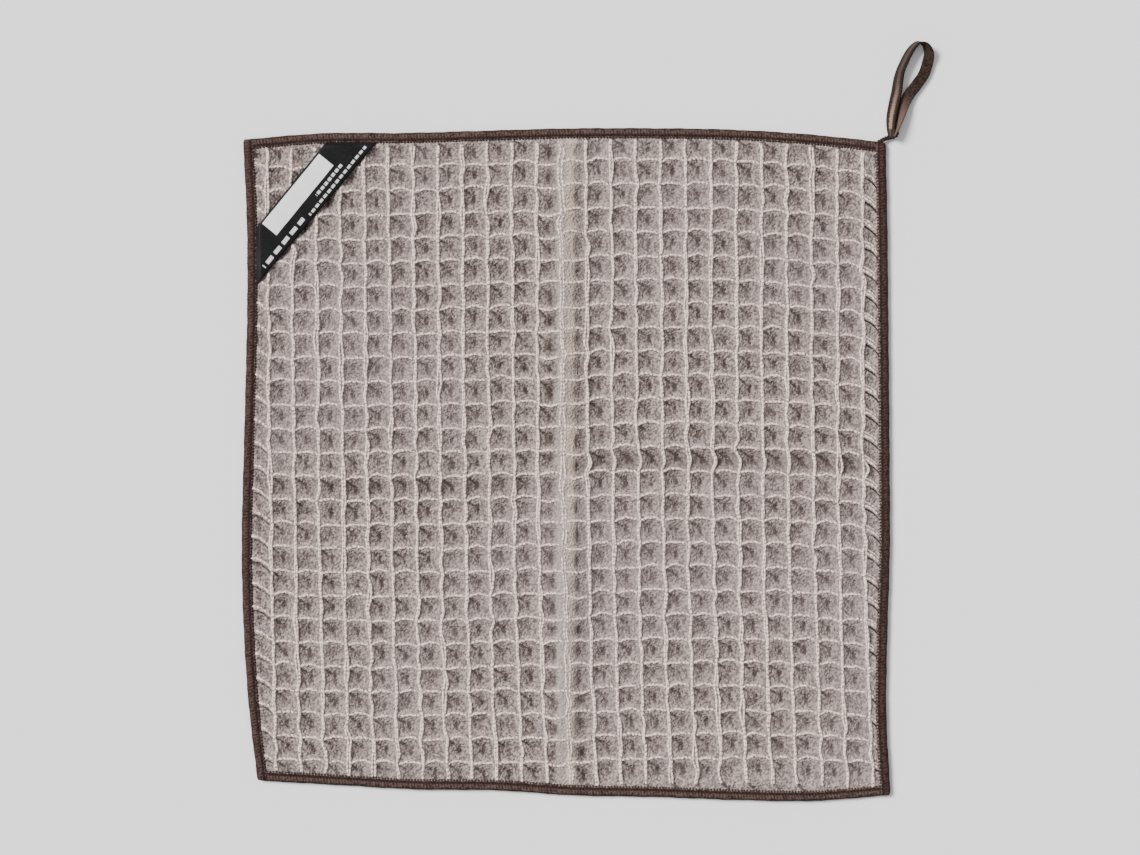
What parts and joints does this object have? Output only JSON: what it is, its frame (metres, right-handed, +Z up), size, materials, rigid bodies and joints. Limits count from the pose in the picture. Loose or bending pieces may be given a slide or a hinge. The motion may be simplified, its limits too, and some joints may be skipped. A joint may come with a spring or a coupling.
{
  "type": "waffle weave kitchen towel",
  "caption": "Square waffle-weave kitchen towel lying flat, with an overlocked edge, a corner label and a hanging loop.",
  "frame": {"origin": "the middle of the underside, where the two fold lines cross", "axes": "+Z up out of the face of the towel as it lies flat, +Y towards the edge with the label and the loop, +X towards the loop's corner"},
  "size_m": [0.321, 0.3518, 0.0054],
  "materials": {
    "cloth": "matte waffle weave",
    "edging": "matte overlock thread",
    "ribbon": "satin ribbon",
    "tape": "ribbed tape"
  },
  "bodies": {
    "root": {"cloth_panel": "cloth", "overlock_bottom": "edging", "overlock_right": "edging", "overlock_top": "edging", "overlock_left": "edging", "corner_label": "ribbon", "hanging_loop": "tape", "loop_neck": "edging"}
  },
  "joints": []
}
